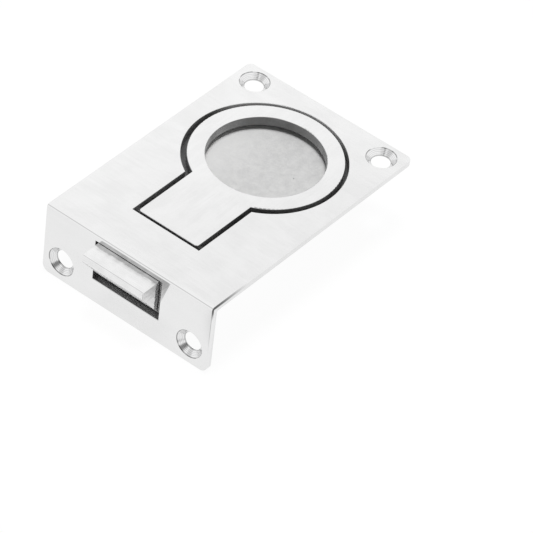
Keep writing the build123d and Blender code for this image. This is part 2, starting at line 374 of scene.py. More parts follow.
@dataclass(frozen=True)
class Polished:
    """Buffed casting: bright, with faint streaks of the wheel and a soft cloudy haze.

    The dull colour shows where the weighed sum of haze, streaks and ripples is high, and as painted
    shade that thickens along x - slant * y, darker towards the right and the front.
    """

    bright: Colour = grey(0.92)
    dull: Colour = grey(0.81)
    roughness: float = 0.13
    haze: float = 0.09
    haze_size: float = 9.0
    haze_share: float = 0.45
    along: Axis = Axis.ACROSS
    streak_width: float = 0.35
    streak_length: float = 26.0
    streak_depth: float = 0.00022
    streak_share: float = 0.3
    ripple_width: float = 3.2
    ripple_length: float = 4.0
    ripple_depth: float = 0.0016
    ripple_share: float = 0.25
    dull_span: Span = (0.36, 0.66)
    # Painted shade over the skin: its share, slant and span
    painted_shade: float = 0.5
    painted_shade_slant: float = 0.4
    painted_shade_span: Span = (-55.0, 25.0)

    def look(self, place: Place) -> Look:
        """Join fine streaks and broad ripples of the wheel with haze and veil.

        Args:
            place: the position on the piece.

        Returns:
            The look.
        """
        graph = place.graph
        drawn = place.stretched(self.along, self.streak_length)
        streaks = graph.noise(drawn, self.streak_width, FINE_LAYERS, FINE_STRENGTH)
        ripples = graph.noise(place.stretched(self.along, self.ripple_length), self.ripple_width)
        haze = graph.noise(place.whole, self.haze_size, FINE_LAYERS, FINE_STRENGTH)
        cloud = haze * self.haze_share + streaks * self.streak_share + ripples * self.ripple_share
        # Painted shade: the skin grows darker towards the right and the front
        painted_shade = (place.x - place.y * self.painted_shade_slant).rises(*self.painted_shade_span)
        haze_and_shade = cloud.rises(*self.dull_span) * (1.0 - self.painted_shade) + painted_shade * self.painted_shade
        return Look(
            graph.mixed_colour(self.bright, self.dull, haze_and_shade),
            self.roughness + self.haze * haze,
            streaks * self.streak_depth + ripples * self.ripple_depth,
        )


@dataclass(frozen=True)
class Cast:
    """The casting's own skin, tumbled and left grey, with a fine grain."""

    light: Colour = grey(0.40, 0.005)
    dark: Colour = grey(0.26, 0.005)
    roughness: float = 0.52
    grain_roughness: float = 0.2
    metal: float = 1.0
    grain: float = 0.45
    grain_depth: float = 0.012
    grain_share: float = 0.4
    patch: float = 7.0

    def look(self, place: Place) -> Look:
        """Join fine grain with broad patches.

        Args:
            place: the position on the piece.

        Returns:
            The look.
        """
        graph = place.graph
        grain = graph.noise(place.whole, self.grain, FINE_LAYERS, FINE_STRENGTH)
        patches = graph.noise(place.whole, self.patch, FINE_LAYERS)
        return Look(
            graph.mixed_colour(self.dark, self.light, mottled(grain, patches, self.grain_share)),
            self.roughness + self.grain_roughness * grain,
            grain * self.grain_depth,
            self.metal,
        )


# Two finishes that more than one zone has: pale satin, painted light on walls in shade, and metal buffed
# after filing
PAINTED_LIGHT_SATIN = Cast(light=grey(0.95), dark=grey(0.90), roughness=0.6, metal=0.2)
FILED = Polished(
    roughness=0.07, haze=0.06, painted_shade=0.2, ripple_width=1.6, ripple_length=1.4, ripple_depth=0.06
)


@dataclass(frozen=True)
class Blasted:
    """Bead-blasted floor: even matt grey with a soft mottle, painted light that makes it paler to the left,
    and one small pit.
    """

    light: Colour = grey(0.83, -0.005)
    dark: Colour = grey(0.66)
    # Painted light: the colour the floor grows towards on its left
    painted_light: Colour = grey(0.95, -0.005)
    painted_light_reach: float = 22.0
    painted_light_share: float = 0.7
    stain: Colour = grey(0.18)
    roughness: float = 0.55
    mottle_roughness: float = 0.15
    metal: float = 0.1
    bead: float = 0.28
    bead_depth: float = 0.004
    bead_share: float = 0.45
    bead_strength: float = 0.55
    mottle: float = 2.6
    mottle_layers: float = 4.0
    mottle_strength: float = 0.7
    pit_x: float = 8.8
    pit_y: float = 63.1
    pit_radius: float = 0.24
    pit_bottom: float = 0.096
    pit_depth: float = 0.1

    def look(self, place: Place) -> Look:
        """Join the beads' dimples with the mottle, and sink the pit.

        Args:
            place: the position on the piece.

        Returns:
            The look.
        """
        graph = place.graph
        dimples = graph.noise(place.whole, self.bead, strength=self.bead_strength)
        mottle = graph.noise(place.whole, self.mottle, self.mottle_layers, self.mottle_strength)
        matt = graph.mixed_colour(self.dark, self.light, mottled(dimples, mottle, self.bead_share))
        # Painted light: the floor grows paler towards the left
        matt = graph.mixed_colour(matt, self.painted_light, place.x.rises(0.0, -self.painted_light_reach) * self.painted_light_share)
        pit = from_axis(place.x - self.pit_x, place.y - self.pit_y).rises(self.pit_radius, self.pit_bottom)
        return Look(
            graph.mixed_colour(matt, self.stain, pit),
            self.roughness + self.mottle_roughness * mottle,
            dimples * self.bead_depth - pit * self.pit_depth,
            self.metal,
        )


@dataclass(frozen=True)
class Turned:
    """Metal cut on an axis, with the tool's fine rings round it and painted shade at rim and bore.

    The painted shade lies from a start to an end inside the rim and outside the bore.
    """

    crest: Colour = grey(0.90)
    groove: Colour = grey(0.66, 0.005)
    # Painted shade: the dark colour at the rim and bore edges
    rim_bore_shade: Colour = grey(0.12)
    rim: float = 4.8
    rim_shade: Span = (0.24, 0.1)
    bore: float = 3.0
    bore_shade: Span = (0.18, 0.05)
    bore_share: float = 0.45
    roughness: float = 0.13
    patch_roughness: float = 0.1
    pitch: float = 0.34
    depth: float = 0.004
    patch: float = 2.4
    wander: float = 5.0
    wave_share: float = 0.6
    patch_share: float = 0.5
    bright_span: Span = (0.15, 0.75)
    rim_shade_span: Span = (0.3, 0.55)

    def look(self, place: Place, radius: Value) -> Look:
        """Make a wave of the radius, uneven from ring to ring.

        The wave is half of 1 + sin(2 pi radius / pitch + wander * patches).

        Args:
            place: the position on the piece.
            radius: the distance from the axis, in millimetres.

        Returns:
            The look.
        """
        graph = place.graph
        patches = graph.noise(place.whole, self.patch)
        wave = 0.5 + 0.5 * (radius * (2.0 * math.pi / self.pitch) + patches * self.wander).sine()
        shine = wave * self.wave_share + patches * self.patch_share
        turned = graph.mixed_colour(self.groove, self.crest, shine.rises(*self.bright_span))
        # Painted shade at the rim, patchy, and at the bore
        rim = radius.rises(*(self.rim - inset for inset in self.rim_shade))
        bore = radius.rises(*(self.bore + inset for inset in self.bore_shade))
        rim_bore_shades = (rim * patches.rises(*self.rim_shade_span)).at_least(self.bore_share * bore)
        return Look(
            graph.mixed_colour(turned, self.rim_bore_shade, rim_bore_shades),
            self.roughness + self.patch_roughness * patches,
            wave * self.depth,
        )


@dataclass(frozen=True)
class Drawn:
    """Drawn wire, ground rod or rolled sheet: fine even lines along the stock."""

    light: Colour = grey(0.74, 0.005)
    dark: Colour = grey(0.52, 0.01)
    roughness: float = 0.28
    patch_roughness: float = 0.16
    along: Axis = Axis.LENGTHWAYS
    line_width: float = 0.12
    line_length: float = 30.0
    line_share: float = 0.6
    depth: float = 0.0012
    patch: float = 5.0
    light_span: Span = (0.32, 0.66)

    def look(self, place: Place) -> Look:
        """Make long narrow streaks.

        Args:
            place: the position on the piece.

        Returns:
            The look.
        """
        graph = place.graph
        drawn = place.stretched(self.along, self.line_length)
        lines = graph.noise(drawn, self.line_width, FINE_LAYERS, FINE_STRENGTH)
        patches = graph.noise(place.whole, self.patch)
        shine = mottled(lines, patches, self.line_share, self.light_span)
        return Look(
            graph.mixed_colour(self.dark, self.light, shine),
            self.roughness + self.patch_roughness * patches,
            lines * self.depth,
        )


def dress(piece: bpy.types.Object, name: str, look_of: Callable[[Place], Look]) -> None:
    """Give a piece one metal material in place of all that it has.

    The bump reads the look's height, turned into metres.

    Args:
        piece: the piece.
        name: the material's name.
        look_of: makes the look from the position on the piece.
    """
    material = bpy.data.materials.new(name)
    material.use_nodes = True
    graph = Graph(material.node_tree)
    look = look_of(Place.of(graph))
    relief = {"Strength": 1.0, "Distance": MM, "Height": look.height}
    surface = {
        "Metallic": look.metal,
        "Base Color": look.colour,
        "Roughness": look.roughness,
        "Normal": graph.value("ShaderNodeBump", sockets=relief),
    }
    steel = graph.value("ShaderNodeBsdfPrincipled", sockets=surface)
    graph.node("ShaderNodeOutputMaterial", sockets={0: steel})
    piece.data.materials.clear()
    piece.data.materials.append(material)


# Surfaces


def grid_faces(rows: int, columns: int) -> np.ndarray:
    """Number the quads of a grid whose columns close on themselves.

    Quad (i, j) joins rows i and i + 1 and columns j and j + 1, and the last column meets the first.

    Args:
        rows: how many rows of vertices there are.
        columns: how many vertices each row has.

    Returns:
        An array of four vertex numbers a quad.
    """
    row, column = np.meshgrid(np.arange(rows - 1), np.arange(columns), indexing="ij")
    after = (column + 1) % columns
    here, above = row * columns, (row + 1) * columns
    quads = (here + column, here + after, above + after, above + column)
    return np.stack(quads, axis=-1).reshape(-1, 4)


def closed_tube(name: str, rings: np.ndarray) -> bpy.types.Object:
    """Make a mesh from rings of points, and close both ends with a fan to the end ring's middle.

    Args:
        name: the piece's name.
        rings: points in metres, one ring a row, anticlockwise as seen from the last row.

    Returns:
        The piece, its faces smooth and pointing out.
    """
    rows, columns, _ = rings.shape
    points = np.concatenate([rings.reshape(-1, 3), rings[[0, -1]].mean(axis=1)])
    here = np.arange(columns)
    after = (here + 1) % columns
    middle = np.full(columns, rows * columns)
    last_row = (rows - 1) * columns
    start_fan = np.stack((after, here, middle), axis=-1)
    end_fan = np.stack((last_row + here, last_row + after, middle + 1), axis=-1)
    mesh = bpy.data.meshes.new(name)
    mesh.from_pydata(points, [], grid_faces(rows, columns).tolist() + start_fan.tolist() + end_fan.tolist())
    mesh.shade_smooth()
    mesh.set_sharp_from_angle(angle=math.radians(NEW_CREASE))
    piece = bpy.data.objects.new(name, mesh)
    bpy.context.scene.collection.objects.link(piece)
    return piece


def softened(name: str) -> bpy.types.Object:
    """Shade a casting's curved faces smoothly, with its vertices left as they are.

    A Weld modifier joins its loose triangles, a node group marks each edge that turns more than
    the crease as sharp, and Weighted Normal keeps flat faces flat.

    Args:
        name: the casting's node.

    Returns:
        The casting.
    """
    node = frame["nodes"][name]
    node.data.shade_smooth()
    weld = node.modifiers.new("joined", "WELD")
    weld.merge_threshold = WELD_REACH * MM
    marker = node.modifiers.new("creased", "NODES")
    marker.node_group = crease_group()
    weighted = node.modifiers.new("flat_faces", "WEIGHTED_NORMAL")
    weighted.keep_sharp = True
    return node


def crease_group() -> bpy.types.NodeTree:
    """Make, once, the node group that marks sharp edges.

    Returns:
        The node group.
    """
    name = "creases"
    if name in bpy.data.node_groups:
        return bpy.data.node_groups[name]
    tree = bpy.data.node_groups.new(name, "GeometryNodeTree")
    for direction in ("INPUT", "OUTPUT"):
        tree.interface.new_socket("Geometry", in_out=direction, socket_type="NodeSocketGeometry")
    graph = Graph(tree)
    source = graph.value("NodeGroupInput")
    turn = graph.value("GeometryNodeInputMeshEdgeAngle")
    limits = {0: turn, 1: math.radians(CAST_CREASE)}
    steep = graph.value("FunctionNodeCompare", {"operation": "GREATER_THAN"}, limits)
    edges = {0: source, "Selection": steep, "Shade Smooth": False}
    marked = graph.value("GeometryNodeSetShadeSmooth", {"domain": "EDGE"}, edges)
    graph.node("NodeGroupOutput", sockets={0: marked})
    return tree


# Sizes taken from the frame


@dataclass(frozen=True)
class Outline:
    """Sizes of the part in millimetres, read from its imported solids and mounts."""

    top: float
    half_width: float
    back: float
    lip_face: float
    fixing_x: float
    plate_fixing_y: float
    lip_fixing_z: float
    ring_y: float

    @classmethod
    def read(cls) -> "Outline":
        """Work the sizes out from the boxes of the nodes and from the record's mounts.

        Returns:
            The sizes.
        """
        plate_low, plate_high = (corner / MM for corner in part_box("face_plate"))
        _, ring_high = (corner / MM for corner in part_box("ring_pull"))
        mounts = {mount["name"]: mount for mount in frame["record"]["mounts"]}
        plate, lip = mounts["plate_screws"], mounts["lip_screws"]
        return cls(
            top=plate_high.z,
            half_width=plate_high.x,
            back=plate_high.y,
            lip_face=plate_low.y,
            fixing_x=plate["dims"]["spacing_x_mm"] / 2.0,
            plate_fixing_y=plate["pos_m"][1] / MM,
            lip_fixing_z=lip["pos_m"][2] / MM,
            ring_y=ring_high.y - ring_high.x,
        )


# Sub-assemblies


@dataclass
class FacePlate:
    """The L-shaped casting: polished skin, an opening darkened with painted shade, matt dish and grey
    underside.

    Each zone of finish has an edge and a fade, over which it gives way to the next.
    """

    outline: Outline
    skin_depth: float = 0.42
    skin_fade: float = 0.2
    side_skin: float = 0.9
    back_skin: float = 0.8
    edge_fade: float = 0.4
    bend_fade: float = 1.5
    edge_shade_width: float = 0.4
    edge_shade_depth: float = 0.9
    edge_shade_lip: float = 0.7
    edge_shade_reach: float = 15.0
    edge_shade_drop: float = 5.0
    edge_shade_drop_fade: float = 4.0
    ledge: float = -1.45
    dish_floor: float = -3.0
    level_over: float = 0.25
    level_fade: float = 0.15
    floor_thickness: float = 1.0
    dish_y: float = 59.65
    opening_radius: float = 25.1
    opening_half: float = 12.6
    opening_front: float = 14.15
    scallop_reach: float = 2.4
    rim_over: float = 0.2
    rim_drop: float = 0.04
    rim_fade: float = 0.1
    join_fade: float = 1.0
    far_slant: float = 0.35
    far_span: Span = (0.45, 0.9)
    sink_radius: float = 4.8
    sink_softness: float = 0.08
    sink_over: float = 0.02
    sink_under: float = 0.06
    slot_half: float = 12.6
    slot_top: float = -0.25
    slot_bottom: float = -14.95
    slot_over: float = 0.1
    slot_rim_fade: float = 0.06
    slot_depth: float = 1.5
    slot_end_fade: float = 0.3
    slot_side_width: float = 0.2
    skin: Polished = Polished()
    lip: Polished = Polished(
        bright=grey(0.885),
        dull=grey(0.865),
        roughness=0.06,
        haze=0.04,
        painted_shade=0.0,
        streak_depth=0.0001,
        ripple_depth=0.0008,
    )
    # Painted shade: the dark line along the plate's right edge near the bend
    edge_shade: Cast = Cast(light=grey(0.26), dark=grey(0.10))
    # Cast walls of the opening, darkened as painted shade in the gap round the ring
    opening_cast_and_shade: Cast = Cast(light=grey(0.44), dark=grey(0.34))
    # Painted shade: the dark walls of the slot and the ledge under the ring
    slot_and_ledge_shade: Cast = Cast(light=grey(0.30), dark=grey(0.22))
    slot_side_painted_light: Cast = PAINTED_LIGHT_SATIN
    underside: Cast = Cast()
    dish: Blasted = Blasted()
    sink: Turned = Turned()

    def dress(self) -> None:
        """Soften the casting's shading and give it its zones of finish."""
        dress(softened("face_plate"), "face_plate_steel", self.zones)
        log.info("face_plate: polished skin, matt dish, four turned countersinks")

    def zones(self, place: Place) -> Look:
        """Lay the finishes over each other, from the grey casting up to the polished skin.

        Args:
            place: the position on the casting.

        Returns:
            The joined look.
        """
        size = self.outline
        top_end = size.top - self.skin_depth
        front_end = size.lip_face + self.skin_depth
        top = place.z.rises(top_end - self.skin_fade, top_end)
        front = place.y.rises(front_end + self.skin_fade, front_end)
        side = abs(place.x).past(size.half_width - self.side_skin, self.edge_fade)
        back = place.y.past(size.back - self.back_skin, self.edge_fade)
        outside = top.at_least(front).at_least(side).at_least(back)
        skin = self.skin.look(place)
        skin = skin.under(self.lip.look(place), place.y.rises(0.0, -self.bend_fade))
        look = self.underside.look(place).under(skin, outside)
        # Painted shade along the right edge
        look = look.under(self.edge_shade.look(place), self.edge_shade_line(place))
        look = self.opened(place, look)
        return self.countersunk(place, self.slotted(place, look))

    def edge_shade_line(self, place: Place) -> Value:
        """Mask the dark line of painted shade along the right edge, from the bend back and a little way
        down the lip.

        Args:
            place: the position on the casting.

        Returns:
            The mask.
        """
        size = self.outline
        edge = place.x.past(size.half_width - self.edge_shade_width, 0.5 * self.edge_shade_width)
        along = place.z.past(size.top - self.edge_shade_depth, self.edge_fade)
        along = along * place.y.rises(self.edge_shade_reach, 0.5 * size.lip_face)
        down = place.y.past(size.lip_face + self.edge_shade_lip, -self.edge_fade)
        down = down * place.z.past(size.top - self.edge_shade_drop, self.edge_shade_drop_fade)
        return edge * along.at_least(down)

    def opened(self, place: Place, look: Look) -> Look:
        """Make the keyhole opening's cast walls dark with painted shade from its rim down, pale at the far
        end with painted light, the ledge darker painted shade, its floor matt.

        Args:
            place: the position on the casting.
            look: the casting's look without the opening.

        Returns:
            The joined look.
        """
        radius = self.opening_radius
        past_middle = place.y - self.dish_y
        round_part = from_axis(place.x, past_middle).past(radius + self.rim_over, -self.rim_fade)
        bar = abs(place.x).past(self.opening_half + self.rim_over, -self.rim_fade)
        bar = bar * place.y.past(self.opening_front - self.scallop_reach, self.rim_fade)
        bar = bar * place.y.past(self.dish_y, -self.join_fade)
        above = place.z.past(self.dish_floor - self.floor_thickness, 0.5 * self.floor_thickness)
        inside = round_part.at_least(bar) * above
        walls = inside * place.z.past(self.outline.top - self.rim_drop, -self.rim_fade)
        far = past_middle - place.x * self.far_slant
        far = far.rises(*(share * radius for share in self.far_span))
        ledge, floor = (
            inside * place.z.past(level + self.level_over, -self.level_fade)
            for level in (self.ledge, self.dish_floor)
        )
        # Painted shade on the opening's walls
        look = look.under(self.opening_cast_and_shade.look(place), walls)
        # Painted light: pale satin on the far walls of the opening
        look = look.under(self.slot_side_painted_light.look(place), walls * far)
        # Painted shade on the ledge under the ring
        look = look.under(self.slot_and_ledge_shade.look(place), ledge)
        return look.under(self.dish.look(place), floor)

    def slotted(self, place: Place, look: Look) -> Look:
        """Darken the walls of the bolt's slot with painted shade right up to its bevelled rim, and make the
        right one pale with painted light.

        Args:
            place: the position on the casting.
            look: the casting's look without the slot.

        Returns:
            The joined look.
        """
        over = self.slot_over
        across = abs(place.x).past(self.slot_half + over, -0.5 * over)
        under_top = place.z.past(self.slot_top + over, -0.5 * over)
        over_bottom = place.z.past(self.slot_bottom - over, 0.5 * over)
        behind_rim = place.y.past(self.outline.lip_face + over, self.slot_rim_fade)
        before_end = place.y.rises(self.slot_depth + self.slot_end_fade, self.slot_depth)
        inside = across * under_top * over_bottom * behind_rim * before_end
        right = place.x.past(self.slot_half - self.slot_side_width, 0.5 * self.slot_side_width)
        # Painted shade inside the slot
        look = look.under(self.slot_and_ledge_shade.look(place), inside)
        # Painted light: pale satin on the right wall of the slot
        return look.under(self.slot_side_painted_light.look(place), inside * right)

    def countersunk(self, place: Place, look: Look) -> Look:
        """Lay turned rings over the four countersinks and their bores.

        Args:
            place: the position on the casting.
            look: the casting's look without them.

        Returns:
            The joined look.
        """
        size = self.outline
        from_side = abs(place.x) - size.fixing_x
        plate_radius = from_axis(from_side, place.y - size.plate_fixing_y)
        lip_radius = from_axis(from_side, place.z - size.lip_fixing_z)
        below_top = place.z.rises(size.top + self.sink_over, size.top - self.sink_under)
        behind_lip = place.y.rises(size.lip_face - self.sink_over, size.lip_face + self.sink_under)
        for radius, below in ((plate_radius, below_top), (lip_radius, behind_lip)):
            mask = radius.rises(self.sink_radius + self.sink_softness, self.sink_radius) * below
            look = look.under(self.sink.look(place, radius), mask)
        return look


@dataclass
class Mechanism:
    """Ring, latch bolt and the pins that carry them.

    Painted light makes the ring's sides paler away from its middle, both ways along the level
    direction (aside_x, aside_y).  The bolt's places along Y go from its tail to its nose.
    """

    outline: Outline
    ring_skin: float = 0.26
    ring_skin_fade: float = 0.16
    aside_x: float = 0.83
    aside_y: float = 0.56
    aside_span: Span = (4.0, 20.0)
    ramp_top: float = -3.0
    ramp_fade: float = 0.1
    bolt_half: float = 11.6
    side_skin: float = 0.02
    side_full: float = 0.1
    flank_back: float = 4.6
    flank_fade: float = 0.4
    step_back: float = 0.6
    step_front: float = -1.3
    head_back: float = -1.7
    step_fade: float = 0.2
    lip_edge_shade_span: Span = (-5.4, -3.4)
    lip_edge_shade_height: float = -0.6
    ring: Polished = Polished(along=Axis.LENGTHWAYS, roughness=0.12)
    # Cast sides of the ring, darkened as painted shade in its bore and gap
    ring_side_cast_and_shade: Cast = Cast(light=grey(0.27), dark=grey(0.16))
    # Painted light: the paler colour of the ring's sides towards both ends
    ring_ends_painted_light: Cast = Cast(light=grey(0.46), dark=grey(0.29))
    bolt: Polished = FILED
    # Painted shade: the darker finish of the bolt's top where it meets the lip
    lip_edge_shade: Polished = replace(FILED, bright=grey(0.86), dull=grey(0.58), painted_shade=0.0, streak_length=12.0)
    # Painted light: pale satin at the slot's mouth and on the ramp
    satin_painted_light: Cast = PAINTED_LIGHT_SATIN
    # Painted shade on the bolt's flanks inside the slot
    bolt_flank_shade: Cast = Cast(light=grey(0.20), dark=grey(0.12))
    bolt_skin: Cast = Cast()
    rod_length: float = 12.0

    def dress(self) -> None:
        """Soften and finish the ring, the bolt and the pins."""
        dress(softened("ring_pull"), "ring_pull_steel", self.ring_zones)
        log.info("ring_pull: polished top, cast sides")
        dress(softened("latch_bolt"), "latch_bolt_steel", self.bolt_zones)
        log.info("latch_bolt: polished head, cast tail")
        for name, axis in (("hinge_pin", Axis.ACROSS), ("guide_rod", Axis.LENGTHWAYS)):
            dress(softened(name), f"{name}_steel", Drawn(along=axis, line_length=self.rod_length).look)
            log.info("%s: ground rod", name)

    def ring_zones(self, place: Place) -> Look:
        """Polish the ring's top and leave its sides, knuckle and lever as cast, dark with painted shade and
        paler towards both ends with painted light.

        Args:
            place: the position on the ring.

        Returns:
            The joined look.
        """
        aside = abs(place.x * self.aside_x + (place.y - self.outline.ring_y) * self.aside_y)
        top = place.z.past(self.outline.top - self.ring_skin, self.ring_skin_fade)
        sides = self.ring_side_cast_and_shade.look(place)
        # Painted light: the sides grow paler away from the middle
        sides = sides.under(self.ring_ends_painted_light.look(place), aside.rises(*self.aside_span))
        return sides.under(self.ring.look(place), top)

    def bolt_zones(self, place: Place) -> Look:
        """Polish the bolt's head, make its ramp and the step at the slot's mouth pale satin with painted
        light, darken its flanks in the slot and its top by the lip with painted shade, and leave its tail
        as cast.

        Args:
            place: the position on the bolt.

        Returns:
            The joined look.
        """
        flank = place.y.past(self.flank_back, -self.flank_fade)
        head = place.y.past(self.head_back, -self.step_fade)
        step = place.y.past(self.step_front, self.step_fade) * place.y.past(self.step_back, -self.step_fade)
        ramp = place.z.rises(self.ramp_top + self.ramp_fade, self.ramp_top - self.ramp_fade)
        ramp = ramp * abs(place.x).rises(self.bolt_half - self.side_skin, self.bolt_half - self.side_full)
        polished = head * (1.0 - ramp)
        # Painted shade on the bolt's top where it meets the lip
        lip_edge_shade = place.y.rises(*self.lip_edge_shade_span) * place.z.past(self.lip_edge_shade_height, self.ramp_fade)
        # Painted shade on the flanks inside the slot
        look = self.bolt_skin.look(place).under(self.bolt_flank_shade.look(place), flank)
        look = look.under(self.satin_painted_light.look(place), head + step)
        look = look.under(self.bolt.look(place), polished)
        return look.under(self.lip_edge_shade.look(place), lip_edge_shade * polished)


@dataclass
class BoltSpring:
    """Compression spring between the bolt's tail and the seat wall, its end turns closed and ground."""

    wire_radius: float = 0.25
    turns: float = 9.5
    end_turns: float = 1.0
    steps_per_turn: int = 48
    sides: int = 14
    bolt_travel: float = 7.0
    wire: Drawn = Drawn(light=grey(0.70, -0.01), roughness=0.22)

    def build(self) -> None:
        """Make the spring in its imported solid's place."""
        low, high = (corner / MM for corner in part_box("bolt_spring"))
        mean_radius = (high.x - low.x) / 2.0 - self.wire_radius
        axis_z = (high.z + low.z) / 2.0
        piece = closed_tube("wound_spring", self.rings(low.y, high.y, mean_radius, axis_z) * MM)
        dress(piece, "spring_wire", self.wire.look)
        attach(piece, "plate")
        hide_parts("bolt_spring")
        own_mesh(piece)

    def rings(self, start: float, end: float, mean_radius: float, axis_z: float) -> np.ndarray:
        """Carry a circle of wire along a helix whose rise is slow in its end turns.

        The rise per turn is one wire's width in the end turns and even between them, so the rise
        is a piecewise straight function of the turn, and points beyond an end plane are brought
        back to it, as grinding does.  Ring i is centre(i) + r (cos a radial + sin a across).

        Args:
            start: the near end plane, along Y.
            end: the far end plane.
            mean_radius: the axis to the middle of the wire.
            axis_z: the height of the axis.

        Returns:
            Points in millimetres, one ring a row.
        """
        turn = np.linspace(0.0, self.turns, int(self.turns * self.steps_per_turn) + 1)
        wire = 2.0 * self.wire_radius
        stations = (0.0, self.end_turns, self.turns - self.end_turns, self.turns)
        heights = (start, start + wire, end - wire, end)
        y = np.interp(turn, stations, heights)
        angle = 2.0 * np.pi * turn
        radial = np.stack((np.cos(angle), np.zeros_like(angle), np.sin(angle)), axis=-1)
        centre = mean_radius * radial + np.stack((np.zeros_like(y), y, np.full_like(y, axis_z)), axis=-1)
        tangent = np.gradient(centre, axis=0)
        tangent /= np.linalg.norm(tangent, axis=1, keepdims=True)
        across = np.cross(tangent, radial)
        around = np.linspace(0.0, 2.0 * np.pi, self.sides, endpoint=False)[None, :, None]
        section = np.cos(around) * radial[:, None] + np.sin(around) * across[:, None]
        rings = centre[:, None] + self.wire_radius * section
        rings[..., 1] = np.clip(rings[..., 1], start, end)
        return rings


@dataclass
class Cover:
    """The rolled sheet that closes the bolt's channel, and its four cross-recessed screws."""

    head_radius: float = 2.8
    middle_radius: float = 0.04
    shank_radius: float = 1.5
    tip_share: float = 0.7
    tip_length: float = 0.25
    thread_pitch: float = 0.5
    thread_depth: float = 0.3
    thread_start: float = 0.4
    thread_start_fade: float = 0.5
    thread_end_fade: float = 0.6
    recess_half: float = 0.36
    recess_wall: float = 0.14
    recess_reach: float = 1.55
    recess_end: float = 0.7
    recess_depth: float = 1.0
    turn_step: float = 37.0
    head_rows: int = 30
    cone_rows: int = 6
    shank_rows: int = 96
    row_gap: float = 0.01
    columns: int = 96
    sheet: Drawn = Drawn(along=Axis.ACROSS, line_length=40.0, depth=0.002)
    screw: Turned = Turned(pitch=0.3, groove=grey(0.55, 0.01), bore=-1.0, depth=0.003)

    def build(self) -> None:
        """Finish the cover and make its screws."""
        dress(softened("cover_plate"), "cover_steel", self.sheet.look)
        low, high = (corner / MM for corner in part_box("cover_screws"))
        inset = self.head_radius
        corners = [(x, y) for x in (low.x + inset, high.x - inset) for y in (low.y + inset, high.y - inset)]
        for number, (x, y) in enumerate(corners, start=1):
            self.drive(number, x, y, low.z, high.z)
        log.info("cover_plate: rolled sheet with %d screws", len(corners))

    def drive(self, number: int, x: float, y: float, head_z: float, tip_z: float) -> None:
        """Make one screw, turned to an angle of its own, and fix it to the plate.

        Args:
            number: which screw it is, from 1.
            x: its axis, along X.
            y: its axis, along Y.
            head_z: the height of its head's face.
            tip_z: the height of its tip.
        """
        local = self.rings(tip_z - head_z, math.radians(self.turn_step * number))
        name = f"cover_screw_{number}"
        piece = closed_tube(name, (local + np.array((x, y, head_z))) * MM)

        def turned(place: Place) -> Look:
            """Turn the finish about the screw's own axis."""
            return self.screw.look(place, from_axis(place.x - x, place.y - y))

        dress(piece, f"{name}_steel", turned)
        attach(piece, "plate")
        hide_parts("cover_screws")

    def rings(self, length: float, turned: float) -> np.ndarray:
        """Turn the screw's profile about its axis, sink the cross into its head, cut its thread.

        Rows run from the middle of the head out to its rim, down the cone and along the shank to
        the tip.  The cross is the deeper of two wings, each a product of two straight slopes, one
        across and one along it.  The thread takes a triangle wave of (height / pitch + angle /
        turn) off the shank's radius, faded in below the cone and out at the tip.

        Args:
            length: the head's face to the tip.
            turned: the angle of the cross.

        Returns:
            Points in millimetres about the head's centre, one ring a row, +Z towards the tip.
        """
        cone = self.head_radius - self.shank_radius
        radius = np.concatenate((
            np.linspace(self.middle_radius, self.head_radius, self.head_rows),
            np.linspace(self.head_radius, self.shank_radius, self.cone_rows)[1:],
            np.full(self.shank_rows, self.shank_radius),
            (self.shank_radius * self.tip_share,),
        ))
        height = np.concatenate((
            np.zeros(self.head_rows),
            np.linspace(0.0, cone, self.cone_rows)[1:],
            np.linspace(cone + self.row_gap, length - self.tip_length, self.shank_rows),
            (length,),
        ))
        angle = np.linspace(0.0, 2.0 * np.pi, self.columns, endpoint=False)
        r, a = radius[:, None], angle[None, :]
        z = np.repeat(height[:, None], self.columns, axis=1)
        u, v = r * np.cos(a - turned), r * np.sin(a - turned)
        wings = np.maximum(self.wing(u, v), self.wing(v, u))
        on_head = (np.arange(len(radius)) < self.head_rows)[:, None]
        z = z + np.where(on_head, self.recess_depth * wings, 0.0)
        phase = (z / self.thread_pitch + a / (2.0 * np.pi)) % 1.0
        fade_in = np.clip((z - cone - self.thread_start) / self.thread_start_fade, 0.0, 1.0)
        fade_out = np.clip((length - z) / self.thread_end_fade, 0.0, 1.0)
        groove = self.thread_depth * (1.0 - np.abs(2.0 * phase - 1.0)) * fade_in * fade_out
        r = r - np.where(on_head, 0.0, groove)
        return np.stack((r * np.cos(a), r * np.sin(a), z), axis=-1)[:, ::-1]

    def wing(self, across: np.ndarray, along: np.ndarray) -> np.ndarray:
        """Give 1 inside one wing of the cross and 0 outside it, with sloped walls between.

        Args:
            across: the distance from the wing's middle line.
            along: the distance from the screw's axis, along the wing.

        Returns:
            How deep the wing is at each point, 0 to 1.
        """
        wall = np.clip((self.recess_half - np.abs(across)) / self.recess_wall, 0.0, 1.0)
        reach = np.clip((self.recess_reach - np.abs(along)) / self.recess_end, 0.0, 1.0)
        return wall * reach


# Studio


@dataclass(frozen=True)
class Card:
    """A dark round card in the room, which fades out between two angles from its middle."""

    towards: Direction
    outer: float
    inner: float
    share: float


def looking_rays(graph: Graph) -> tuple[Value, Value]:
    """Tell the rays that look at a thing from those that only light others by it.

    Args:
        graph: the node tree.

    Returns:
        A mask of the rays that look, and a mask of the mirrored ones among them.
    """
    path = graph.node("ShaderNodeLightPath")
    names = ("Is Camera Ray", "Is Glossy Ray", "Is Transmission Ray")
    camera, glossy, through = (Value(graph, path.outputs[name]) for name in names)
    return camera.at_least(glossy).at_least(through), glossy


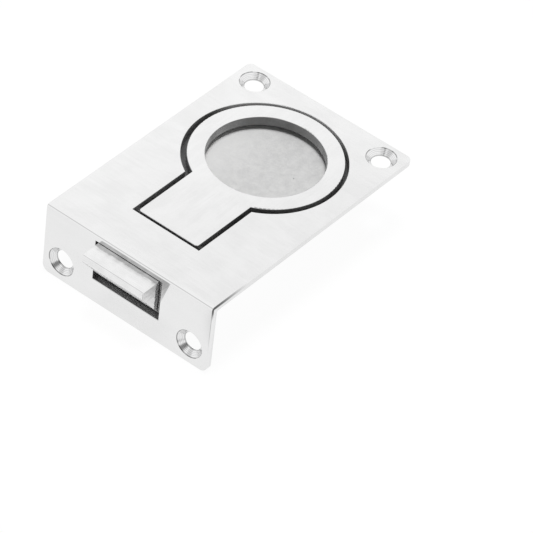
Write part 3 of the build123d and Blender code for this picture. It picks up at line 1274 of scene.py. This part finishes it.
@dataclass
class Studio:
    """Camera, floor and light."""

    aim: Vector = field(default_factory=lambda: Vector((29.53, 24.59, 0.0)) * MM)
    azimuth: float = 34.37
    elevation: float = 41.98
    roll: float = 7.37
    distance: float = 1.1123
    lens: float = 261.4
    floor_drop: float = 0.2
    floor_half: float = 3.0
    floor_white: float = 0.93
    floor_glow: float = 1.03
    floor_paper: Colour = grey(0.9)
    mirrored_loss: float = 0.088
    patch_x: float = 33.0
    patch_y: float = -30.0
    patch_radius: float = 21.0
    patch_share: float = 0.48
    room_light: float = 0.2
    lamp_place: Vector = field(default_factory=lambda: Vector((0.0, 0.045, 1.0)))
    lamp_size: float = 0.35
    lamp_watts: float = 6.8
    cards: tuple[Card, ...] = (
        Card((-0.42, -0.61, 0.67), outer=22.0, inner=10.0, share=0.31),
        Card((0.50, -0.72, 0.48), outer=24.0, inner=10.0, share=0.8),
        Card((0.15, -0.69, 0.71), outer=9.0, inner=4.0, share=0.7),
    )

    def build(self) -> None:
        """Set up everything round the object."""
        self.camera()
        self.floor()
        self.world()
        self.lamp()
        bpy.context.scene.view_settings.view_transform = "Standard"
        log.info("studio: camera at azimuth %.1f, elevation %.1f", self.azimuth, self.elevation)

    def camera(self) -> None:
        """Place the camera by the angles from which the object is seen."""
        azimuth, elevation = math.radians(self.azimuth), math.radians(self.elevation)
        back = Vector((
            math.sin(azimuth) * math.cos(elevation),
            -math.cos(azimuth) * math.cos(elevation),
            math.sin(elevation),
        ))
        upright = back.to_track_quat("Z", "Y").to_matrix().to_4x4()
        lens = bpy.data.cameras.new("camera")
        lens.lens = self.lens
        lens.dof.use_dof = False
        eye = bpy.data.objects.new("camera", lens)
        place = Matrix.Translation(self.aim + back * self.distance)
        eye.matrix_world = place @ upright @ Matrix.Rotation(math.radians(self.roll), 4, "Z")
        bpy.context.scene.collection.objects.link(eye)
        bpy.context.scene.camera = eye

    def floor(self) -> None:
        """Lay a pale floor just below the lip."""
        low, _ = cad_box
        z = low.z - self.floor_drop * MM
        half = self.floor_half
        corners = [(-half, -half, z), (half, -half, z), (half, half, z), (-half, half, z)]
        mesh = bpy.data.meshes.new("floor")
        mesh.from_pydata(corners, [], [(0, 1, 2, 3)])
        plane = bpy.data.objects.new("floor", mesh)
        bpy.context.scene.collection.objects.link(plane)
        mesh.materials.append(self.backdrop())

    def backdrop(self) -> bpy.types.Material:
        """Make the floor's paper, which shows from above only and mirrors darker in one patch.

        Returns:
            The material.
        """
        material = bpy.data.materials.new("floor")
        material.use_nodes = True
        graph = Graph(material.node_tree)
        place = Place.of(graph)
        looking, glossy = looking_rays(graph)
        off_patch = from_axis(place.x - self.patch_x, place.y - self.patch_y)
        patch = off_patch.rises(self.patch_radius, 0.5 * self.patch_radius)
        glow = self.floor_glow - (self.mirrored_loss + self.patch_share * patch) * glossy
        paper = graph.value("ShaderNodeBsdfDiffuse", sockets={"Color": (*self.floor_paper, 1.0)})
        white = graph.value("ShaderNodeEmission", sockets={"Color": WHITE, "Strength": glow})
        clear = graph.value("ShaderNodeBsdfTransparent")
        below = graph.value("ShaderNodeNewGeometry", output="Backfacing")
        lit = graph.mixed_shader(paper, white, looking * self.floor_white)
        graph.node("ShaderNodeOutputMaterial", sockets={0: graph.mixed_shader(lit, clear, below)})
        return material

    def world(self) -> None:
        """Light the object evenly from a pale room with a few dark cards that only reflections show."""
        world = bpy.data.worlds.new("studio")
        world.use_nodes = True
        bpy.context.scene.world = world
        graph = Graph(world.node_tree)
        looking, glossy = looking_rays(graph)
        direction = graph.value("ShaderNodeTexCoord", output="Generated")
        strength = self.room_light + (1.0 - self.room_light) * looking
        for card in self.cards:
            sockets = {0: direction, 1: tuple(Vector(card.towards).normalized())}
            facing = graph.value("ShaderNodeVectorMath", {"operation": "DOT_PRODUCT"}, sockets, "Value")
            outer, inner = (math.cos(math.radians(angle)) for angle in (card.outer, card.inner))
            strength = strength - facing.rises(outer, inner) * glossy * card.share
        light = graph.value("ShaderNodeBackground", sockets={"Color": WHITE, "Strength": strength})
        graph.node("ShaderNodeOutputWorld", sockets={0: light})

    def lamp(self) -> None:
        """Add one soft lamp straight above, which lights the matt dish and has no mirror image."""
        light = bpy.data.lights.new("softbox", "AREA")
        light.shape = "DISK"
        light.size = self.lamp_size
        light.energy = self.lamp_watts
        box = bpy.data.objects.new("softbox", light)
        box.location = self.lamp_place
        box.visible_glossy = False
        bpy.context.scene.collection.objects.link(box)


def main() -> None:
    """Build and dress the part, then set up the studio."""
    logging.basicConfig(level=logging.INFO, format="%(name)s: %(message)s")
    outline = Outline.read()
    FacePlate(outline).dress()
    Mechanism(outline).dress()
    BoltSpring().build()
    Cover().build()
    Studio().build()


if __name__ == "__main__":
    main()
